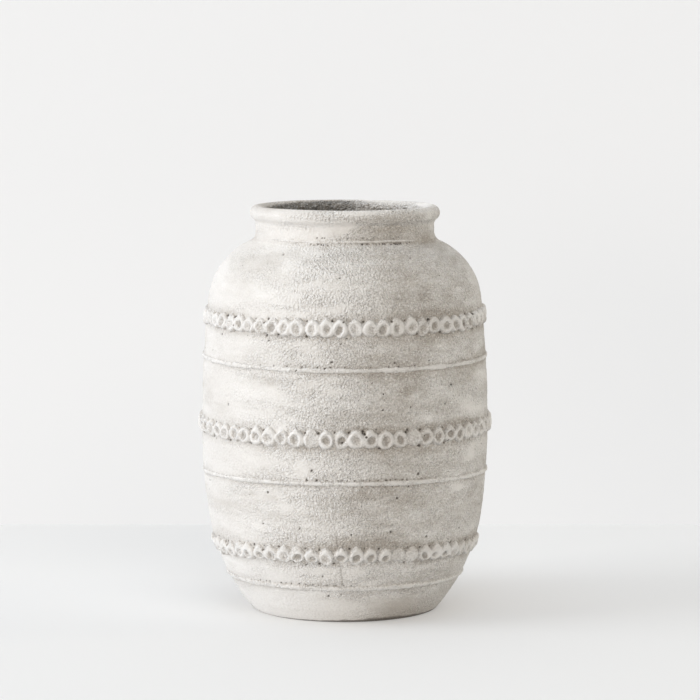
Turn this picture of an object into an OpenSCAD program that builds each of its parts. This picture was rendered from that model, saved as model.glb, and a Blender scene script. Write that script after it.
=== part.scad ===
// Jar-shaped flower pot, hand-built from rings of clay, with pressed bands over the joints of its rings.
// Millimetres, +Z up, origin at the middle of the face that the pot stands on. The front faces -Y.

/* [Jar] */
// Radius of the wall at its widest
belly_r = 107.6; // [104:0.1:112]
// Height of the widest point
belly_z = 137; // [132:1:142]
// Thickness of the wall
wall = 8; // [6:0.5:10]
// Thickness of the floor slab
floor_t = 10; // [8:0.5:14]
// Rounding of the edge that the pot stands on
foot_round = 2; // [1:0.5:4]
// Radius of the hollow under the floor
hollow_r = 54; // [40:1:58]
// Depth of the hollow under the floor
hollow_depth = 1.5; // [0.5:0.5:3]

/* [Outline] */
// Radius of the arc from the floor up to the lower belly
foot_arc = 143.5; // [138:0.5:150]
// Height where the foot arc runs into the lower belly
foot_top = 73; // [70:1:76]
// Radius of the lower belly's arc
lower_arc = 440; // [410:5:480]
// Radius of the upper belly's arc
upper_arc = 900; // [840:10:1000]
// Height where the upper belly runs into the shoulder
shoulder_z = 235; // [232:1:238]
// Radius of the shoulder's arc
shoulder_arc = 52; // [50:0.5:54]
// Furthest that a straight step of the outline may lie off its arc
chord_error = 0.02; // [0.01:0.01:0.1]

/* [Neck and rim] */
// Outside radius of the neck
neck_r = 66.9; // [64:0.1:69]
// Radius of the hollow between shoulder and neck
neck_fillet = 8; // [6:0.5:9]
// Height of the rim's crest
rim_z = 304; // [302:0.5:308]
// Radius of the rim's roll
roll_r = 5.7; // [5:0.1:6.5]
// How far the roll stands out from the neck
roll_out = 4.5; // [3:0.1:5]
// How deep the collar's top edge sits in the roll
roll_seat = 1.9; // [1:0.1:3]
// Radius of the hollow between neck and roll
roll_fillet = 3.5; // [2.5:0.1:4.5]

/* [Pressed bands] */
// Pellets in the upper band
upper_count = 63; // [58:1:66]
// Pellets in the middle band
middle_count = 62; // [58:1:66]
// Pellets in the lower band
lower_count = 58; // [54:1:60]
// Diameter of a pellet
pellet_d = 13.7; // [13:0.1:14.5]
// How far a pellet's rim stands out from the wall
pellet_proud = 3.1; // [2.5:0.1:3.6]
// Width of the crater pressed into a pellet
crater_d = 6.6; // [5.5:0.1:7.2]
// Depth of the crater below the pellet's rim
crater_depth = 2; // [1.5:0.1:2.4]
// How uneven the hand-pressed pellets are, 0 for even
unevenness = 1; // [0:0.1:1.2]

/* [Thin coils] */
// Width of a thin coil where it meets the wall
coil_w = 4.2; // [3:0.1:5]
// How far a thin coil stands out from the wall
coil_proud = 1.4; // [1:0.1:2]
// Width of the fine coil at the foot of the neck
neck_coil_w = 2.6; // [2:0.1:3.2]
// How far the neck coil stands out
neck_coil_proud = 0.8; // [0.5:0.1:1.2]

/* [Hidden] */
$fn = 180;

// Each ring round the pot: its height at the sides, and how much higher it runs in front than at the sides
upper_band_at = [222.5, -1.2];
middle_band_at = [141.9, -1.0];
lower_band_at = [50.4, 4.4];
upper_coil_at = [191.8, -1.0];
middle_coil_at = [105.5, 3.0];
lower_coil_at = [27.5, 1.1];
neck_coil_at = [280.3, 0.6];

// Unevenness of the pellets: turn and height in millimetres, size as a share
turn_spread = 0.55;
height_spread = 0.6;
size_spread = 0.045;
// The angle at which each band's first pellet sits, just left of the front
first_pellet = -91.4;

// The outline's arcs run into each other without a corner, so each centre lies on its neighbour's normal
lower_c = [belly_r - lower_arc, belly_z];
upper_c = [belly_r - upper_arc, belly_z];
foot_a = asin((foot_top - belly_z) / lower_arc);
foot_c = lower_c + (lower_arc - foot_arc) * [cos(foot_a), sin(foot_a)];
shoulder_a = asin((shoulder_z - belly_z) / upper_arc);
shoulder_c = upper_c + (upper_arc - shoulder_arc) * [cos(shoulder_a), sin(shoulder_a)];
base_a = asin((foot_round - foot_c.y) / (foot_arc - foot_round));
base_c = foot_c + (foot_arc - foot_round) * [cos(base_a), sin(base_a)];
fillet_x = neck_r + neck_fillet;
blend_a = acos((fillet_x - shoulder_c.x) / (shoulder_arc + neck_fillet));
fillet_c = [fillet_x, shoulder_c.y + (shoulder_arc + neck_fillet) * sin(blend_a)];

// The rim and the collar it sits on: the roll's inner side carries on the bore
roll_c = [neck_r + roll_out - roll_r, rim_z - roll_r];
collar_z = roll_c.y - roll_r + roll_seat;
bore_r = roll_c.x - roll_r;
roll_fillet_x = neck_r + roll_fillet;
roll_lean = acos((roll_fillet_x - roll_c.x) / (roll_r + roll_fillet));
roll_fillet_c = [roll_fillet_x, roll_c.y - (roll_r + roll_fillet) * sin(roll_lean)];
bore_a = acos((bore_r - shoulder_c.x) / (shoulder_arc - wall));

// A pellet's rim is a bead, sunk so far into the wall that this share of its height is its radius
bead_share = 0.75;
bead_r = pellet_proud * bead_share;
bead_c = [pellet_d / 2 - bead_r, pellet_proud - bead_r];
// The crater is a ball's print, and its width is measured below the rounded lip
crater_lip = 0.2;
crater_fall = crater_depth * (1 - crater_lip);
crater_ball = (pow(crater_d / 2, 2) + pow(crater_fall, 2)) / (2 * crater_fall);

// The hairline seam between neighbouring pellets
seam = 0.15;

// Space for cutting: wider than the pot, and further round a coil or a pellet than either reaches
reach = 2 * belly_r;
coil_room = 10;
seat_room = pellet_d;
// How far above and below its middle a pellet's seat touches the wall
seat_touch = pellet_d / 4;

// Points on an arc, close enough together to stay within the chord error
function arc(c, r, a0, a1) =
    let (steps = ceil(abs(a1 - a0) / (2 * acos(1 - chord_error / r))))
    [for (i = [0 : steps]) let (a = a0 + (a1 - a0) * i / steps) c + r * [cos(a), sin(a)]];

// Every point but the last, so that arcs that share an end can be joined
function open_end(points) = [for (i = [0 : len(points) - 2]) points[i]];

// The belly's three upper arcs from the foot arc's end to angle top_a on the shoulder, drawn in by an inset
function belly_side(inset, top_a) = concat(
    open_end(arc(lower_c, lower_arc - inset, foot_a, 0)),
    open_end(arc(upper_c, upper_arc - inset, 0, shoulder_a)),
    arc(shoulder_c, shoulder_arc - inset, shoulder_a, top_a));

// The arc that the wall follows at a height, as its centre and radius
function arc_at(z) =
    z < foot_top ? [foot_c, foot_arc] :
    z < belly_z ? [lower_c, lower_arc] :
    z < shoulder_z ? [upper_c, upper_arc] : [shoulder_c, shoulder_arc];

// How far the wall leans at a height: the angle of its outward normal above level
function wall_lean(z) = let (a = arc_at(z)) asin((z - a[0].y) / a[1]);
function wall_r(z) = let (a = arc_at(z)) a[0].x + a[1] * cos(wall_lean(z));

// The radius at height z of the straight line that touches the wall at height z0
function touching(z0, z) = wall_r(z0) - (z - z0) * tan(wall_lean(z0));

// Half section of the pot filled in, from the floor to the top of the collar
module filled_section() polygon(concat(
    [[0, 0]],
    open_end(arc(base_c, foot_round, -90, base_a)),
    open_end(arc(foot_c, foot_arc, base_a, foot_a)),
    open_end(belly_side(0, blend_a)),
    arc(fillet_c, neck_fillet, 180 + blend_a, 180),
    [[neck_r, collar_z], [0, collar_z]]));

// Half section of the space inside, from below the floor to above the collar
module hollow_section() polygon(concat(
    [[0, 0]],
    open_end(arc(foot_c, foot_arc - wall, asin(-foot_c.y / (foot_arc - wall)), foot_a)),
    belly_side(wall, bore_a),
    [[bore_r, rim_z], [0, rim_z]]));

// The part of a half section between two heights
module between(z0, z1) intersection() {
    children();
    translate([0, z0]) square([reach, z1 - z0]);
}

// A ring of the wall between two heights
module wall_ring(z0, z1) rotate_extrude() between(z0, z1) difference() {
    filled_section();
    hollow_section();
}

// The pot's outer form filled in, which applied clay is pressed against
module core(z0, z1) rotate_extrude() between(z0, z1) filled_section();

// A pellet pressed by a round stick, with its axis along Z and the wall at Z = 0
module pellet() rotate_extrude($fn = 32) difference() {
    union() {
        translate(bead_c) circle(bead_r);
        translate([0, bead_c.y - bead_r]) square([bead_c.x, bead_r + crater_depth / 2]);
        translate([0, bead_c.y - bead_r]) square([pellet_d / 2, bead_r]);
    }
    translate([0, pellet_proud - crater_depth + crater_ball]) circle(crater_ball);
}

// The space just outside the wall between two angles, around a height, behind two lines that touch the wall
module seat(a0, a1, z) {
    low = z - seat_touch;
    high = z + seat_touch;
    bend = (touching(low, 0) - touching(high, 0)) / (tan(wall_lean(low)) - tan(wall_lean(high)));
    far = wall_r(z) + seat_room;
    rotate(a0) rotate_extrude(angle = a1 - a0) polygon([
        [touching(low, z - seat_room), z - seat_room],
        [touching(low, bend), bend],
        [touching(high, z + seat_room), z + seat_room],
        [far, z + seat_room],
        [far, z - seat_room]]);
}

// A chain of pellets, each squeezed flat against its neighbours and seated on the wall
module pressed_band(at, count, seed) {
    to_angle = 180 / PI / wall_r(at[0]);
    turns = rands(-turn_spread, turn_spread, count, seed);
    rises = rands(-height_spread, height_spread, count, seed + 1);
    swells = rands(-size_spread, size_spread, count, seed + 2);
    angles = [for (i = [0 : count - 1]) first_pellet + 360 / count * i + unevenness * turns[i] * to_angle];
    for (i = [0 : count - 1]) {
        before = i == 0 ? angles[count - 1] - 360 : angles[i - 1];
        after = i == count - 1 ? angles[0] + 360 : angles[i + 1];
        z = at[0] - at[1] * sin(angles[i]) + unevenness * rises[i];
        intersection() {
            rotate(angles[i]) translate([wall_r(z), 0, z]) rotate([0, 90 - wall_lean(z), 0])
                scale(1 + unevenness * swells[i]) pellet();
            seat((before + angles[i] + seam * to_angle) / 2, (angles[i] + after - seam * to_angle) / 2, z);
        }
    }
}

// A coil of a given width and height laid round the pot at radius r, tipped so that it rises in front
module laid_coil(at, r, width, proud) {
    coil_r = (width * width / 4 + proud * proud) / (2 * proud);
    difference() {
        translate([0, 0, at[0]]) rotate([-asin(at[1] / r), 0, 0]) rotate_extrude()
            translate([r + proud - coil_r, 0]) circle(coil_r, $fn = 48);
        core(at[0] - coil_room, min(at[0] + coil_room, collar_z));
    }
}

module thin_coil(at) laid_coil(at, wall_r(at[0]), coil_w, coil_proud);

module floor_slab() color("gainsboro") rotate_extrude() difference() {
    between(0, floor_t) filled_section();
    polygon([[0, -hollow_depth], [hollow_r + hollow_depth, -hollow_depth],
        [hollow_r - hollow_depth, hollow_depth], [0, hollow_depth]]);
}

module foot_wall() color("whitesmoke") wall_ring(floor_t, lower_band_at[0]);
module lower_belly() color("linen") wall_ring(lower_band_at[0], middle_band_at[0]);
module upper_belly() color("whitesmoke") wall_ring(middle_band_at[0], upper_band_at[0]);
module shoulder() color("linen") wall_ring(upper_band_at[0], neck_coil_at[0]);
module neck_collar() color("whitesmoke") wall_ring(neck_coil_at[0], collar_z);

module rim_roll() color("snow") rotate_extrude() polygon(concat(
    open_end(arc(roll_fillet_c, roll_fillet, 180, 180 - roll_lean)),
    arc(roll_c, roll_r, -roll_lean, 180),
    [[bore_r, collar_z], [neck_r, collar_z]]));

module neck_coil() color("snow")
    laid_coil(neck_coil_at, fillet_x - sqrt(pow(neck_fillet, 2) - pow(fillet_c.y - neck_coil_at[0], 2)),
        neck_coil_w, neck_coil_proud);

module upper_band() color("snow") pressed_band(upper_band_at, upper_count, 11);
module middle_band() color("snow") pressed_band(middle_band_at, middle_count, 23);
module lower_band() color("snow") pressed_band(lower_band_at, lower_count, 37);
module upper_coil() color("snow") thin_coil(upper_coil_at);
module middle_coil() color("snow") thin_coil(middle_coil_at);
module lower_coil() color("snow") thin_coil(lower_coil_at);

floor_slab();
foot_wall();
lower_belly();
upper_belly();
shoulder();
neck_collar();
rim_roll();
neck_coil();
upper_band();
middle_band();
lower_band();
upper_coil();
middle_coil();
lower_coil();
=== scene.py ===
import math

import bpy
import numpy as np
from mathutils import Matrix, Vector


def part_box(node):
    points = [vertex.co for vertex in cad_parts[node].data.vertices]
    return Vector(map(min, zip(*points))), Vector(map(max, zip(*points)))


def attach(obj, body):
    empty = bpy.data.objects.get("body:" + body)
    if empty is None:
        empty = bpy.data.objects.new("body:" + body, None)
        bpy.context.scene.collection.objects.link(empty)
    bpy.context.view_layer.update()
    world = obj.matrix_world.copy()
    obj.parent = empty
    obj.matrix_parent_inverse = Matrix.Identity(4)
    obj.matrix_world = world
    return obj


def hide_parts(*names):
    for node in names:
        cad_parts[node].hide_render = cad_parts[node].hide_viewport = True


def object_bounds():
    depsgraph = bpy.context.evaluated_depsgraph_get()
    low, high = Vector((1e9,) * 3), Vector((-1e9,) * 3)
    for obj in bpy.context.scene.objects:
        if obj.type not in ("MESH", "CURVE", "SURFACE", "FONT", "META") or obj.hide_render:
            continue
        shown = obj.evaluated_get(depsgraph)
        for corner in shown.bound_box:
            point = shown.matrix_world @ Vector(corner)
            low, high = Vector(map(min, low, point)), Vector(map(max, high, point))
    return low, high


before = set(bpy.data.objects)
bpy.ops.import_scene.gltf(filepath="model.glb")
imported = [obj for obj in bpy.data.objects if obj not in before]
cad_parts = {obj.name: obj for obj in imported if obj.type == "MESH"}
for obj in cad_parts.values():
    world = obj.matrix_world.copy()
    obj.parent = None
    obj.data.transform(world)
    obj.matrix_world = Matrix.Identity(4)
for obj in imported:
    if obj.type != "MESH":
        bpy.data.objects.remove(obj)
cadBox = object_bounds()
print("frame loaded:", len(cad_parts), "nodes")

mm = 0.001
front = -90.0  # the side that faces the viewer, in degrees from +X


def heights(node):
    # Lowest and highest point of a CAD node, in millimetres
    low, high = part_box(node)
    return low.z / mm, high.z / mm


# Sizes of the jar, in millimetres, as the CAD model has them
jar = dict(
    bellyRadius=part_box("upper_belly")[1].x / mm,
    bellyHeight=137.0,
    wall=8.0,
    footRound=2.0,
    hollowRadius=54.0,
    hollowDepth=1.5,
    footArc=143.5,
    footTop=73.0,
    lowerArc=440.0,
    upperArc=900.0,
    shoulderStart=235.0,
    shoulderArc=52.0,
    neckRadius=66.9,
    neckFillet=8.0,
    bore=60.0,
    rollRadius=5.7,
    rollOut=4.5,
    rollFillet=5.0,
    footJoint=heights("foot_wall")[0],
    lowerJoint=heights("lower_belly")[0],
    middleJoint=heights("upper_belly")[0],
    upperJoint=heights("shoulder")[0],
    neckJoint=heights("neck_collar")[0],
    collarTop=heights("neck_collar")[1],
    rimTop=heights("rim_roll")[1],
)


def arcPoints(centre, radius, start, end, step=0.25):
    # Points on an arc: centre plus radius times (cos, sin) of an angle that runs evenly, in degrees
    count = max(3, int(abs(math.radians(end - start)) * radius / step) + 1)
    angle = np.radians(np.linspace(start, end, count))
    return np.stack([centre[0] + radius * np.cos(angle), centre[1] + radius * np.sin(angle)], axis=1)


def polar(centre, radius, angle):
    # One point of a circle, angle in degrees
    turn = math.radians(angle)
    return centre[0] + radius * math.cos(turn), centre[1] + radius * math.sin(turn)


def measured(points):
    # An outline with its length along the way and, at each point, the normal to the right of the way
    points = points[np.concatenate([[True], np.abs(np.diff(points, axis=0)).sum(axis=1) > 1e-6])]
    way = np.gradient(points, axis=0)
    way /= np.linalg.norm(way, axis=1, keepdims=True)
    length = np.concatenate([[0], np.cumsum(np.linalg.norm(np.diff(points, axis=0), axis=1))])
    return dict(r=points[:, 0], z=points[:, 1], nr=way[:, 1], nz=-way[:, 0], s=length)


def outlineOf(j):
    # The wall is a chain of arcs that run into each other, so each centre lies on its neighbour's normal
    lowerC = (j["bellyRadius"] - j["lowerArc"], j["bellyHeight"])
    upperC = (j["bellyRadius"] - j["upperArc"], j["bellyHeight"])
    footA = math.degrees(math.asin((j["footTop"] - j["bellyHeight"]) / j["lowerArc"]))
    footC = polar(lowerC, j["lowerArc"] - j["footArc"], footA)
    shoulderA = math.degrees(math.asin((j["shoulderStart"] - j["bellyHeight"]) / j["upperArc"]))
    shoulderC = polar(upperC, j["upperArc"] - j["shoulderArc"], shoulderA)
    baseA = math.degrees(math.asin((j["footRound"] - footC[1]) / (j["footArc"] - j["footRound"])))
    baseC = polar(footC, j["footArc"] - j["footRound"], baseA)
    filletX = j["neckRadius"] + j["neckFillet"]
    blendA = math.degrees(math.acos((filletX - shoulderC[0]) / (j["shoulderArc"] + j["neckFillet"])))
    filletC = (filletX, shoulderC[1] + (j["shoulderArc"] + j["neckFillet"]) * math.sin(math.radians(blendA)))
    boreA = math.degrees(math.acos((j["bore"] - shoulderC[0]) / (j["shoulderArc"] - j["wall"])))
    innerBaseA = math.degrees(math.asin((j["footJoint"] - footC[1]) / (j["footArc"] - j["wall"])))

    def belly(inset, topA):
        return [
            arcPoints(lowerC, j["lowerArc"] - inset, footA, 0),
            arcPoints(upperC, j["upperArc"] - inset, 0, shoulderA),
            arcPoints(shoulderC, j["shoulderArc"] - inset, shoulderA, topA),
        ]

    outer = [arcPoints(baseC, j["footRound"], -90, baseA, 0.1), arcPoints(footC, j["footArc"], baseA, footA)]
    outer += belly(0, blendA) + [arcPoints(filletC, j["neckFillet"], 180 + blendA, 180)]
    outer += [np.array([[j["neckRadius"], j["collarTop"]]])]
    inner = [arcPoints(footC, j["footArc"] - j["wall"], innerBaseA, footA)]
    inner += belly(j["wall"], boreA) + [np.array([[j["bore"], j["collarTop"]]])]
    return measured(np.concatenate(outer)), measured(np.concatenate(inner))


outerLine, innerLine = outlineOf(jar)


def along(line, s):
    # Radius, height and normal of an outline at given lengths along it
    return [np.interp(s, line["s"], line[key]) for key in ("r", "z", "nr", "nz")]


def lengthAt(line, z):
    # Length along an outline at which it reaches a height
    return np.interp(z, line["z"], line["s"])


noiseTable = np.random.default_rng(758)
cornerHash = noiseTable.permutation(256)
cornerSlope = noiseTable.normal(size=(256, 3))
cornerSlope /= np.linalg.norm(cornerSlope, axis=1, keepdims=True)


def clayNoise(points, size, shift=0.0):
    # Gradient noise: each of a cell's eight corners has a slope, and the slopes blend by a fifth-degree ease
    cell = points / np.asarray(size, float) + shift
    base = np.floor(cell).astype(int)
    part = cell - base
    ease = part ** 3 * (part * (part * 6 - 15) + 10)
    total = np.zeros(points.shape[:-1])
    for corner in np.ndindex(2, 2, 2):
        at = (base + corner) & 255
        key = cornerHash[(cornerHash[(cornerHash[at[..., 0]] + at[..., 1]) & 255] + at[..., 2]) & 255]
        weight = np.prod(np.where(corner, ease, 1 - ease), axis=-1)
        total += weight * (cornerSlope[key] * (part - corner)).sum(axis=-1)
    return total * 1.7


def eased(low, high, value):
    # 0 below low, 1 above high, and a smooth S between
    t = np.clip((value - low) / (high - low), 0, 1)
    return t * t * (3 - 2 * t)


def degreesFrom(angle, centre):
    # Angle from a centre, wrapped to plus or minus 180
    return (angle - centre + 180) % 360 - 180


def bell(value, middle, wide):
    # A bell curve: e to the power of minus the squared distance from its middle, counted in widths
    return np.exp(-np.square((value - middle) / wide))


# The rings laid round the jar: height at the sides, rise in front, half the height that they cover,
# and how many pellets a pressed band has. A band's first pellet sits just left of the front.
firstPellet = -91.4
rings = dict(
    upperBand=dict(height=jar["upperJoint"], rise=-1.2, half=6.9, pellets=63),
    middleBand=dict(height=jar["middleJoint"], rise=-1.0, half=6.9, pellets=62),
    lowerBand=dict(height=jar["lowerJoint"], rise=4.4, half=6.9, pellets=58),
    upperCoil=dict(height=191.8, rise=-1.0, half=2.1),
    middleCoil=dict(height=105.5, rise=3.0, half=2.1),
    lowerCoil=dict(height=27.5, rise=1.1, half=2.1),
    neckCoil=dict(height=jar["neckJoint"], rise=0.6, half=1.3),
)


def ringHeight(ring, angle):
    # A ring's height at an angle in degrees: it rises or falls as a sine from its sides to its front
    return ring["height"] - ring["rise"] * np.sin(np.radians(angle))


# How rough the hand-built wall is: heights and grain sizes in millimetres
relief = dict(
    sway=0.30, swaySize=70,
    turning=0.22, turningSize=(95, 95, 15),
    strokes=0.07, strokesSize=(26, 26, 2.6),
    lumps=0.13, lumpsSize=5.5,
    grain=0.26, grainSize=2.0,
    sandier=0.75, sandierBy=0.55, sandierSize=(40, 40, 26),
)

# Darker patches on the jar, and below zero lighter patches: partly real stains and thicker wash, partly
# painted shade and painted light where the lit jar looks darker or lighter. Angle from the front, height,
# half width in degrees, half height, strength
stainAndShadePatches = [
    (27, 290, 17, 5.0, 1.60),
    (54, 281, 16, 6.0, 0.90),
    (66, 277, 9, 6.0, 0.50),
    (-12, 277, 4, 1.3, 0.75),
    (52, 268, 20, 9.0, 0.35),
    (-34, 268, 8, 6.0, 0.30),
    (-52, 265, 20, 8.0, 0.40),
    (62, 253, 14, 10.0, 0.40),
    (-52, 247, 16, 10.0, 0.25),
    (41, 243, 18, 6.0, 1.05),
    (-35, 234, 8, 4.0, 0.35),
    (38, 229, 15, 4.5, 0.65),
    (37, 211, 12, 3.5, 0.80),
    (-2, 206, 5, 6.0, 0.50),
    (12, 199, 13, 6.0, 0.70),
    (31, 199, 5, 7.0, 0.50),
    (54, 190, 15, 6.0, 0.95),
    (19, 186, 15, 6.0, 0.85),
    (-33, 182, 9, 6.0, 0.40),
    (15, 176, 8, 5.0, 0.50),
    (28, 174, 8, 6.0, 1.60),
    (-70, 166, 12, 10.0, 0.30),
    (17, 160, 13, 8.0, 0.50),
    (54, 148, 13, 5.0, 1.25),
    (19, 141, 4, 5.0, 0.70),
    (18, 131, 16, 4.0, 0.60),
    (18, 124, 6, 5.0, 0.35),
    (20, 109, 10, 3.0, 1.00),
    (-3, 104, 7, 3.0, 0.60),
    (18, 102, 5, 4.0, 0.40),
    (9, 100, 16, 6.0, 1.10),
    (-33, 96, 12, 5.0, 0.40),
    (24, 87, 14, 5.0, 0.35),
    (-58, 86, 16, 8.0, 0.30),
    (-26, 81, 12, 5.0, 0.45),
    (10, 66, 17, 4.0, 0.75),
    (60, 58, 10, 6.0, 0.80),
    (33, 27, 16, 5.0, 0.45),
    (64, 298, 14, 5.0, -0.90),
    (-10, 291, 28, 8.0, -1.00),
    (-37, 280, 14, 5.0, -0.50),
    (6, 277, 8, 3.0, -0.60),
    (34, 276, 22, 4.0, -0.65),
    (8, 253, 12, 8.0, -0.30),
    (-16, 240, 22, 8.0, -0.60),
    (66, 234, 8, 6.0, -0.50),
    (72, 229, 9, 6.0, -0.70),
    (70, 203, 9, 7.0, -0.70),
    (-12, 191, 14, 9.0, -0.45),
    (-14, 182, 8, 8.0, -0.30),
    (37, 176, 9, 9.0, -0.75),
    (-24, 166, 22, 16.0, -0.25),
    (62, 160, 10, 12.0, -0.50),
    (33, 152, 9, 6.0, -1.10),
    (-5, 147, 6, 5.0, -1.20),
    (-25, 144, 5, 6.0, -0.90),
    (33, 136, 9, 4.0, -0.70),
    (60, 120, 8, 8.0, -0.50),
    (-12, 118, 14, 6.0, -0.45),
    (50, 113, 8, 8.0, -0.35),
    (-15, 102, 8, 5.0, -0.35),
    (50, 100, 8, 8.0, -0.50),
    (20, 99, 6, 3.0, -0.50),
    (63, 93, 13, 14.0, -0.45),
    (8, 82, 8, 4.0, -0.50),
    (-38, 74, 9, 6.0, -0.50),
    (38, 70, 12, 5.0, -0.70),
    (45, 52, 12, 9.0, -1.00),
    (-4, 46, 9, 6.0, -0.60),
    (28, 46, 14, 6.0, -0.55),
    (-60, 42, 22, 8.0, -0.60),
    (8, 35, 15, 8.0, -0.55),
    (8, 28, 14, 4.0, -0.40),
    (-17, 25, 13, 4.0, -0.80),
]

# Larger pinholes that are seen in front: angle from the front, height
pinholesSeen = [(15, 162), (-13, 118), (19, 72), (20, 196), (-5, 197), (-15, 111), (30, 114), (36, 66),
                (-11, 111), (-8, 22), (47, 177), (-32, 100), (-34, 272), (21, 97), (-60, 212),
                (7, 147), (7.6, 145), (8.2, 143), (25, 147), (30, 135), (-1, 139)]

# The other pinholes: how many lie anywhere and between which heights, their sizes and those in the bands'
# notches, a hole's radius for a size of 1, its soft edge, and its depth
pinholes = dict(seed=41, count=75, heights=(32, 276), seenSize=1.15, size=(0.35, 0.85), notchSize=(0.6, 1.3),
                radius=0.95, edge=0.3, depth=0.8)

# Rows of small pits beside the coils: ring, first and last angle from the front, height from the ring,
# count, size; and how uneven a row is
pitRows = [
    ("neckCoil", 10, 44, -1.7, 24, 1.3),
    ("neckCoil", -21, -11, -1.8, 9, 1.2),
    ("neckCoil", 3, 14, 2.4, 7, 0.8),
    ("neckCoil", -17, -13, 2.6, 3, 0.8),
    ("neckCoil", 16, 36, 2.4, 8, 0.5),
    ("neckCoil", 7, 14, 13, 7, 0.9),
    ("upperCoil", -40, 34, 2.3, 14, 1.0),
    ("middleCoil", -14, 26, 2.4, 16, 1.0),
    ("middleCoil", 4, 30, -2.4, 8, 1.0),
    ("lowerCoil", -46, 6, 2.5, 18, 1.0),
]
pitsUneven = dict(turn=1.2, lift=0.3, size=(0.2, 0.75))

# Holes in the notches between pellets, which the finish paints near-black as shade in the gaps: height from
# the band's middle and share of notches that have one, and how uneven they are, as a share of a pellet's
# width and in millimetres
notchHoles = dict(sides=((4.6, 0.65), (-6.4, 0.30)), turn=0.12, lift=(-0.5, 0.9))

# A hairline crack that runs down through the lowest band, and a scratch: angles from the front and heights
hairlines = [dict(start=(-3.5, 74), end=(-0.8, 29), half=0.45, depth=0.25),
             dict(start=(1, 128), end=(7, 109), half=0.40, depth=0.20)]
hairlineDrift = dict(wander=1.3, wanderSize=7.0)


def pitPlaces(draw):
    # Angles, heights and sizes of the rows of pits, uneven by a seeded amount
    uneven = pitsUneven
    angle, height, size = [], [], []
    for name, first, last, above, count, scale in pitRows:
        at = front + np.linspace(first, last, count) + draw.uniform(-uneven["turn"], uneven["turn"], count)
        angle.append(at)
        lift = draw.uniform(-uneven["lift"], uneven["lift"], count)
        height.append(ringHeight(rings[name], at) + above + lift)
        size.append(scale * draw.uniform(*uneven["size"], count))
    return np.concatenate(angle), np.concatenate(height), np.concatenate(size)


def notchPlaces(draw):
    # Angles and heights of the holes between pellets, at their top or their foot, drawn by a share
    angle, height = [], []
    for ring in rings.values():
        count = ring.get("pellets", 0)
        for side, share in notchHoles["sides"]:
            at = np.arange(count) + 0.5 + draw.uniform(-notchHoles["turn"], notchHoles["turn"], count)
            at = firstPellet + at * 360 / max(count, 1)
            at = at[draw.uniform(0, 1, count) < share]
            angle.append(at)
            height.append(ringHeight(ring, at) + side + draw.uniform(*notchHoles["lift"], len(at)))
    return np.concatenate(angle), np.concatenate(height)


def pinholePlaces():
    # The seen pinholes, then seeded ones anywhere on the wall, in the bands' notches and beside the coils,
    # as points on the outer outline, with their sizes
    p = pinholes
    draw = np.random.default_rng(p["seed"])
    seen = np.array(pinholesSeen, float)
    notchAngle, notchHeight = notchPlaces(draw)
    pitAngle, pitHeight, pitSize = pitPlaces(draw)
    angle = np.concatenate([seen[:, 0] + front, draw.uniform(0, 360, p["count"]), notchAngle, pitAngle])
    height = np.concatenate([seen[:, 1], draw.uniform(*p["heights"], p["count"]), notchHeight, pitHeight])
    size = np.concatenate([np.full(len(seen), p["seenSize"]), draw.uniform(*p["size"], p["count"]),
                           draw.uniform(*p["notchSize"], len(notchAngle)), pitSize])
    radius = np.interp(height, outerLine["z"], outerLine["r"])
    turn = np.radians(angle)
    return np.stack([radius * np.cos(turn), radius * np.sin(turn), height], axis=1), size


pinholePoints, pinholeSizes = pinholePlaces()


def pinholeField(points):
    # 1 in the middle of a pinhole and 0 outside it; each hole only looks at the points near its own height
    field = np.zeros(points.shape[:-1])
    flat = points.reshape(-1, 3)
    out = field.reshape(-1)
    reach = 2.5
    order = np.argsort(flat[:, 2], kind="stable")
    sortedZ = flat[order, 2]
    for place, size in zip(pinholePoints, pinholeSizes):
        first, last = np.searchsorted(sortedZ, [place[2] - reach, place[2] + reach])
        near = order[first:last]
        gap = np.linalg.norm(flat[near] - place, axis=1) / (size * pinholes["radius"] + pinholes["edge"])
        out[near] = np.maximum(out[near], 1 - eased(0.35, 1.0, gap))
    return field


def hairlineField(points):
    # Depth of the crack and the scratch: distance to a line in unrolled angle and height
    angle = degreesFrom(np.degrees(np.arctan2(points[..., 1], points[..., 0])), front)
    radius = np.hypot(points[..., 0], points[..., 1])
    depth = np.zeros(points.shape[:-1])
    for line in hairlines:
        share = np.clip((points[..., 2] - line["start"][1]) / (line["end"][1] - line["start"][1]), 0, 1)
        wander = hairlineDrift["wander"] * clayNoise(points * [0, 0, 1], hairlineDrift["wanderSize"], 3.3)
        middle = line["start"][0] + share * (line["end"][0] - line["start"][0])
        across = np.radians(angle - middle) * radius - wander
        inside = eased(0, 0.08, share) * (1 - eased(0.92, 1, share))
        outside = eased(line["half"], 2.6 * line["half"], np.abs(across))
        depth = np.maximum(depth, line["depth"] * inside * (1 - outside))
    return depth


def swayField(points):
    # How the wall sways, and its broad turning marks, in millimetres
    sway = relief["sway"] * clayNoise(points, relief["swaySize"], 0.3)
    return sway + relief["turning"] * clayNoise(points, relief["turningSize"], 5.1)


def wallRelief(points):
    # Height of the outer wall's unevenness at points on the smooth outline, how far its grain lies in a
    # hollow, and its pinholes
    r = relief
    strokes = r["strokes"] * clayNoise(points, r["strokesSize"], 9.7)
    rough = r["sandier"] + r["sandierBy"] * clayNoise(points, r["sandierSize"], 2.2)
    lumps = r["lumps"] * clayNoise(points, r["lumpsSize"], 7.4)
    grain = r["grain"] * np.clip(rough, 0.35, 1.3) * clayNoise(points, r["grainSize"], 1.9)
    holes = pinholeField(points)
    cracks = hairlineField(points)
    height = swayField(points) + strokes + lumps + grain - pinholes["depth"] * holes - cracks
    hollow = 0.45 - (lumps + grain) / (3 * (r["lumps"] + r["grain"])) + 1.7 * cracks
    return height, hollow, holes
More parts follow.
